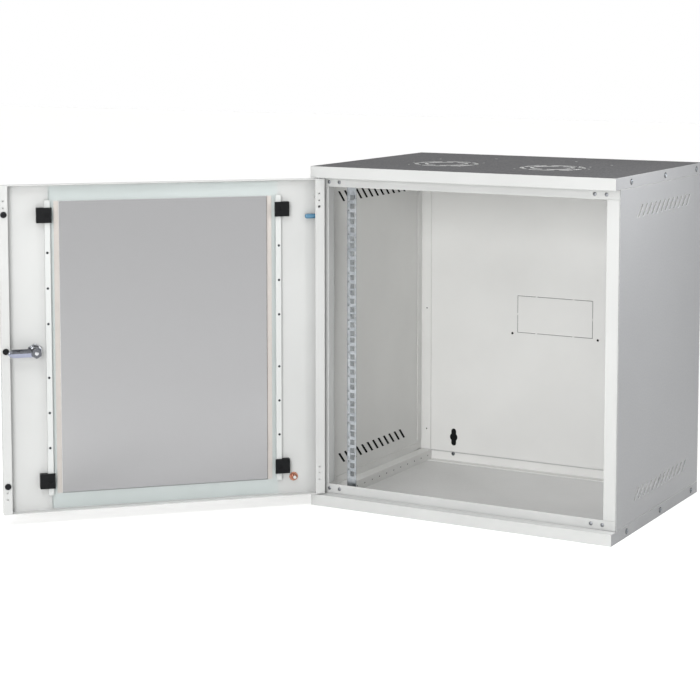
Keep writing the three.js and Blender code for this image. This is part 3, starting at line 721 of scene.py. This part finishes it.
def thin_glass(name, code):
    """Clear or tinted float glass: what is behind it shows through, and its faces mirror a little."""
    material, tree = new_material(name)
    place = add(tree, "ShaderNodeTexCoord").outputs["Object"]
    # Roller wave in toughened glass is very shallow and some 250 mm long.
    wave = add(tree, "ShaderNodeTexNoise", {"Vector": place, "Scale": 4.0, "Detail": 1.0})
    ripple = add(tree, "ShaderNodeBump", {"Height": wave.outputs[0], "Strength": 0.03, "Distance": 0.001})
    dust = add(tree, "ShaderNodeTexNoise", {"Vector": place, "Scale": 60.0, "Detail": 5.0})
    film = add(tree, "ShaderNodeMapRange", {
        "Value": dust.outputs[0], "From Min": 0.4, "From Max": 0.8, "To Min": 0.03, "To Max": 0.09})
    clear = add(tree, "ShaderNodeBsdfTransparent", {"Color": colour(code)})
    mirror = add(tree, "ShaderNodeBsdfGlossy", {
        "Color": colour("#ffffff"), "Roughness": film.outputs[0], "Normal": ripple.outputs[0]})
    edge_on = add(tree, "ShaderNodeFresnel", {"IOR": 1.15})
    glass = add(tree, "ShaderNodeMixShader", {
        0: edge_on.outputs[0], 1: clear.outputs[0], 2: mirror.outputs[0]})
    add(tree, "ShaderNodeOutputMaterial", {"Surface": glass.outputs[0]})
    return material


border_glass = thin_glass("clear toughened glass", "#fdffff")
# The window's grey tint is painted shade: it darkens what is seen through the window.
window_shade_glass = thin_glass("toughened glass with a grey tint as painted shade", "#d5d5d6")
window = (109.0, 491.0, 53.5, 584.5)
pane_low, pane_high = Vector((90.0, 3.3, 27.0)), Vector((510.0, 7.3, 611.0))
pane = bmesh.new()
xs = (pane_low.x, window[0], window[1], pane_high.x)
zs = (pane_low.z, window[2], window[3], pane_high.z)
for y in (pane_low.y, pane_high.y):
    grid = [[pane.verts.new((x, y, z)) for x in xs] for z in zs]
    for j in range(3):
        for i in range(3):
            cell = pane.faces.new((grid[j][i], grid[j][i + 1],
                                   grid[j + 1][i + 1], grid[j + 1][i]))
            cell.material_index = 1 if i == 1 and j == 1 else 0
rim = [e for e in pane.edges if e.is_boundary]
bmesh.ops.bridge_loops(pane, edges=rim)
bmesh.ops.recalc_face_normals(pane, faces=pane.faces)
pane.transform(to_door)
finished("pane", pane, [border_glass, window_shade_glass], "door", ["glass_pane"], 20.0)

# ---------------------------------------------------------------------------------------------
# Glazing tapes. Self-adhesive beige foam between the pane and the door skin.


def foam(name, code):
    """Closed-cell foam tape: dull, slightly uneven and finely pitted."""
    material, tree = new_material(name)
    place = add(tree, "ShaderNodeTexCoord").outputs["Object"]
    cells = add(tree, "ShaderNodeTexVoronoi", {"Vector": place, "Scale": 900.0})
    blotch = add(tree, "ShaderNodeTexNoise", {"Vector": place, "Scale": 40.0, "Detail": 3.0})
    light = colour(code)
    dark = tuple(c * 0.85 for c in light[:3]) + (1.0,)
    tint = add(tree, "ShaderNodeMix", {"Factor": blotch.outputs[0], 6: light, 7: dark}, data_type="RGBA")
    bump = add(tree, "ShaderNodeBump", {
        "Height": cells.outputs["Distance"], "Strength": 0.4, "Distance": 0.0003})
    body = add(tree, "ShaderNodeBsdfPrincipled", {
        "Base Color": tint.outputs[2], "Roughness": 0.9, "Normal": bump.outputs[0]})
    add(tree, "ShaderNodeOutputMaterial", {"Surface": body.outputs[0]})
    return material


beige_foam = foam("beige foam tape", "#c6bab5")
for side in ("hinge", "lock"):
    coated(f"glazing_tape_{side}", beige_foam)

# ---------------------------------------------------------------------------------------------
# Retainer strips and clamps. White-coated folded strips, riveted to the door, grip the pane's long
# edges, and moulded black clamps with a countersunk fixing hold the strips' ends.

white_coat = powder_coat("white powder coat", "#bdbfbe", shade=0.97)
for side in ("hinge", "lock"):
    coated(f"retainer_strip_{side}", white_coat)
strip_rivet = plated("blackened rivet steel", "#3c3e41", (0.35, 0.5))
strip_face = 9.1
strip_rivet_pitch = 64.2
for side, x in (("hinge", 87.4), ("lock", 512.6)):
    for group, first in (("lower", 138.0), ("upper", 364.0)):
        head = turned([(0.0, 0.1), (0.9, 0.2), (1.6, 0.7), (2.1, 0.5), (2.3, 0.02), (1.5, 0.02),
                       (1.5, -2.4), (0.0, -2.6)], 20)
        row = repeated(head, 3, (0.0, strip_rivet_pitch, 0.0), strip_rivet)
        row.transform(to_door @ Matrix(((1, 0, 0, x), (0, 0, 1, strip_face),
                                        (0, 1, 0, first), (0, 0, 0, 1))))
        bmesh.ops.recalc_face_normals(row, faces=row.faces)
        finished(f"strip_rivets_{side}_{group}", row, strip_rivet, "door", [])


black_abs = moulded("black moulded ABS", "#0e0f11")
for side in ("hinge", "lock"):
    for end in ("lower", "upper"):
        coated(f"glass_clamp_{side}_{end}", black_abs)

# ---------------------------------------------------------------------------------------------
# Bumpers. Three pushed-in rubber buttons on the lock stile that meet the front post.

rubber = moulded("black rubber", "#17181a", 0.8, (0.6, 0.78))
bumper_x = 590.0
stile_y = 19.0
for name, z in (("lower", 74.5), ("middle", 319.0), ("upper", 563.5)):
    button = turned([(0.0, -3.4), (1.9, -3.4), (1.9, 0.1), (5.0, 0.1), (5.5, 0.35), (5.7, 1.2),
                     (5.4, 2.4), (4.7, 3.2), (3.6, 3.6), (2.4, 3.65), (1.4, 3.2), (0.0, 3.1)], 32)
    lay = Matrix(((1, 0, 0, bumper_x), (0, 0, 1, stile_y), (0, -1, 0, z), (0, 0, 0, 1)))
    button.transform(to_door @ lay)
    finished(f"bumper_{name}", button, rubber, "door", [f"door_bumper_{name}"])

# ---------------------------------------------------------------------------------------------
# Cam lock. Chromed zinc housing clamped by a hex nut; its plug carries a folded steel cam that is
# held by a smaller, duller nut and turns a quarter turn.

chrome = plated("chromed zinc", "#c4c6ca", (0.16, 0.26), 4.0)
lock_x = 537.0
lock_z = 316.0
facing = Matrix(((1, 0, 0, lock_x), (0, 0, 1, 0.0), (0, -1, 0, lock_z), (0, 0, 0, 1)))


def on_lock(bm, name, body, nodes, finish=None, angle=35.0):
    """Places a lock piece turned about Z onto the lock's axis."""
    bm.transform(to_door @ facing)
    bmesh.ops.recalc_face_normals(bm, faces=bm.faces)
    return finished(name, bm, finish or chrome, body, nodes, angle)


on_lock(turned([(6.4, -1.5), (10.8, -1.7), (11.7, -1.3), (12.0, -0.6), (12.0, 0.2), (9.0, 0.2),
                (9.0, 19.2), (8.7, 19.5), (6.4, 19.5), (6.4, -1.5)], 48),
        "housing", "door", ["lock_housing"])
on_lock(turned([(9.4, 2.3), (13.6, 2.3), (13.9, 2.8), (13.9, 7.6), (12.2, 8.5), (9.4, 8.5), (9.4, 2.3)],
               60, 24.0),
        "fixing_nut", "door", ["lock_fixing_nut"])
plug = turned([(0.0, -1.2), (5.2, -1.2), (5.9, -0.6), (6.0, 24.0), (4.4, 24.0), (4.4, 29.9), (3.0, 30.2),
               (3.0, 34.5), (3.9, 34.7), (3.5, 35.3), (2.2, 35.5), (0.0, 35.5)], 40)
for v in plug.verts:
    if v.co.z < 0.0 and abs(v.co.x) < 1.0 and v.co.length < 5.3:
        v.co.z += 0.8
on_lock(plug, "plug", "lock_cam_set", ["lock_plug"])
# Dull zinc for the cam nut, also used on the cam's upper facet as painted shade.
dull_zinc_and_cam_shade = plated("dull zinc, also painted shade on the cam's upper facet", "#66686d", (0.22, 0.36), 4.0)
on_lock(turned([(3.4, 30.3), (9.2, 30.3), (9.8, 30.7), (9.8, 33.8), (8.4, 34.6), (3.4, 34.6), (3.4, 30.3)],
               60, 17.0),
        "cam_nut", "lock_cam_set", ["lock_cam_nut"], dull_zinc_and_cam_shade)

cam_half = 7.5
cam_length = 50.0
cam_low = 26.3
cam_high = 29.0
ridge = 2.4
cam = bmesh.new()
stations = [(-9.0, 6.0), (-8.0, cam_half), (0.0, cam_half), (cam_length - 9, cam_half),
            (cam_length - 3, 4.6), (cam_length, 1.4)]
rings = []
for x, half in stations:
    lift = ridge * min(1.0, max(0.0, (x - 9.0) / 5.0))
    ring = []
    for t, h in ((-1.0, cam_low), (0.0, cam_low + lift), (1.0, cam_low),
                 (1.0, cam_high), (0.0, cam_high + lift), (-1.0, cam_high)):
        ring.append(cam.verts.new((lock_x + x, h, lock_z + t * half)))
    rings.append(ring)
for a, b in zip(rings, rings[1:]):
    for i in range(6):
        j = (i + 1) % 6
        cam.faces.new((a[i], a[j], b[j], b[i]))
cam.faces.new(rings[0])
cam.faces.new(list(reversed(rings[-1])))
bmesh.ops.recalc_face_normals(cam, faces=cam.faces)
bmesh.ops.bevel(cam, geom=[e for e in cam.edges if e.calc_face_angle(0.0) > math.radians(50)],
                offset=0.5, segments=2, affect="EDGES")
cam.transform(to_door)
cam_steel = plated("blue-passivated steel", "#9599aa", (0.14, 0.26), 6.0)
# The upper facet of the cam's ridge takes the dull zinc as painted shade.
for face in cam.faces:
    middle = to_door.inverted() @ face.calc_center_median()
    face.material_index = 1 if middle.z > lock_z + 0.4 and middle.x > lock_x + 8.0 else 0
finished("cam", cam, [cam_steel, dull_zinc_and_cam_shade], "lock_cam_set", ["lock_cam"], 20.0)

# ---------------------------------------------------------------------------------------------
# Hinge pins. The upper one is a spring-loaded steel rod bent over as a handle with a dipped blue
# sleeve; the lower one is fixed in the door. Both drop into the covers' front returns.

pin_radius = 3.0
pin_low = 545.5
pin_high = 622.5
handle_end = 35.5
bend_radius = 4.0
path = [(0.0, pin_high, 1.6), (0.0, pin_high - 1.4, pin_radius),
        (0.0, pin_low + bend_radius, pin_radius)]
for i in range(1, 7):
    a = math.pi / 2 * i / 6
    path.append((bend_radius * (1 - math.cos(a)), pin_low + bend_radius * (1 - math.sin(a)),
                 pin_radius - 0.05 * i))
path.append((handle_end - 13.5, pin_low, 2.6))


def swept(points, sides=20):
    """A round rod along a path in the X-Z plane given as (x, z, radius), closed at both ends."""
    bm = bmesh.new()
    rings = []
    for k, (x, z, r) in enumerate(points):
        x0, z0, _ = points[max(0, k - 1)]
        x1, z1, _ = points[min(len(points) - 1, k + 1)]
        along = Vector((x1 - x0, 0.0, z1 - z0)).normalized()
        across = Vector((0.0, 1.0, 0.0))
        third = along.cross(across)
        ring = []
        for i in range(sides):
            t = 2 * math.pi * i / sides
            out = r * (math.cos(t) * across + math.sin(t) * third)
            ring.append(bm.verts.new(Vector((x, 0.0, z)) + out))
        rings.append(ring)
    for a, b in zip(rings, rings[1:]):
        for i in range(sides):
            j = (i + 1) % sides
            bm.faces.new((a[i], a[j], b[j], b[i]))
    bm.faces.new(rings[0])
    bm.faces.new(list(reversed(rings[-1])))
    bmesh.ops.recalc_face_normals(bm, faces=bm.faces)
    return bm


pin_steel = plated("bright drawn steel", "#c3c6c8", (0.2, 0.3))
rod = swept(path)
rod.transform(to_door @ Matrix.Translation((hinge.x, hinge.y, 0.0)))
finished("upper_pin", rod, pin_steel, "hinge_pin", ["hinge_pin_upper"])
blue_dip = moulded("blue dipped PVC", "#4d7893", 2.0, (0.22, 0.34), 0.08, 0.5)
grip = swept([(5.2, pin_low, 3.2), (5.5, pin_low, 3.9), (7.0, pin_low, 4.4), (18.0, pin_low, 4.6),
              (23.0, pin_low, 4.5), (25.2, pin_low, 3.7), (26.0, pin_low, 2.2), (26.2, pin_low, 0.8)], 24)
grip.transform(to_door @ Matrix.Translation((hinge.x, hinge.y, 0.0)))
finished("pin_grip", grip, blue_dip, "hinge_pin", ["hinge_pin_grip"], 60.0)
lower_pin = turned([(0.0, 13.0), (2.0, 13.0), (3.0, 14.4), (3.0, 24.3), (4.2, 24.3), (4.6, 24.7),
                    (4.6, 26.8), (4.2, 27.2), (3.0, 27.2), (3.0, 43.8), (2.4, 44.5), (0.0, 44.5)], 28)
lower_pin.transform(to_door @ Matrix.Translation((hinge.x, hinge.y, 0.0)))
finished("lower_pin", lower_pin, pin_steel, "door", ["hinge_pin_lower"])

# ---------------------------------------------------------------------------------------------
# Earth point. A copper-plated cap nut with a washer on the stud welded to the door.

copper = plated("copper plating", "#b98570", (0.18, 0.34), 3.0)
earth = Matrix(((1, 0, 0, 59.0), (0, 0, 1, 0.0), (0, -1, 0, 55.5), (0, 0, 0, 1)))
nut = turned([(3.3, 2.3), (8.0, 2.3), (8.2, 2.6), (8.2, 3.4), (7.9, 3.7), (5.9, 3.8), (5.9, 7.9),
              (5.2, 8.4), (4.4, 8.7), (4.1, 10.0), (3.2, 11.3), (1.7, 12.1), (0.0, 12.3), (0.0, 11.6),
              (3.3, 8.6), (3.3, 2.3)], 60)
for v in nut.verts:
    if 3.75 < v.co.z < 8.5:
        a = math.atan2(v.co.y, v.co.x)
        r = math.hypot(v.co.x, v.co.y)
        part = (a + math.pi / 6) % (math.pi / 3) - math.pi / 6
        limit = min(r, 5.0 / math.cos(part))
        v.co.x = limit * math.cos(a)
        v.co.y = limit * math.sin(a)
nut.transform(to_door @ earth)
bmesh.ops.recalc_face_normals(nut, faces=nut.faces)
finished("earth_point", nut, copper, "door", ["earth_nut"])
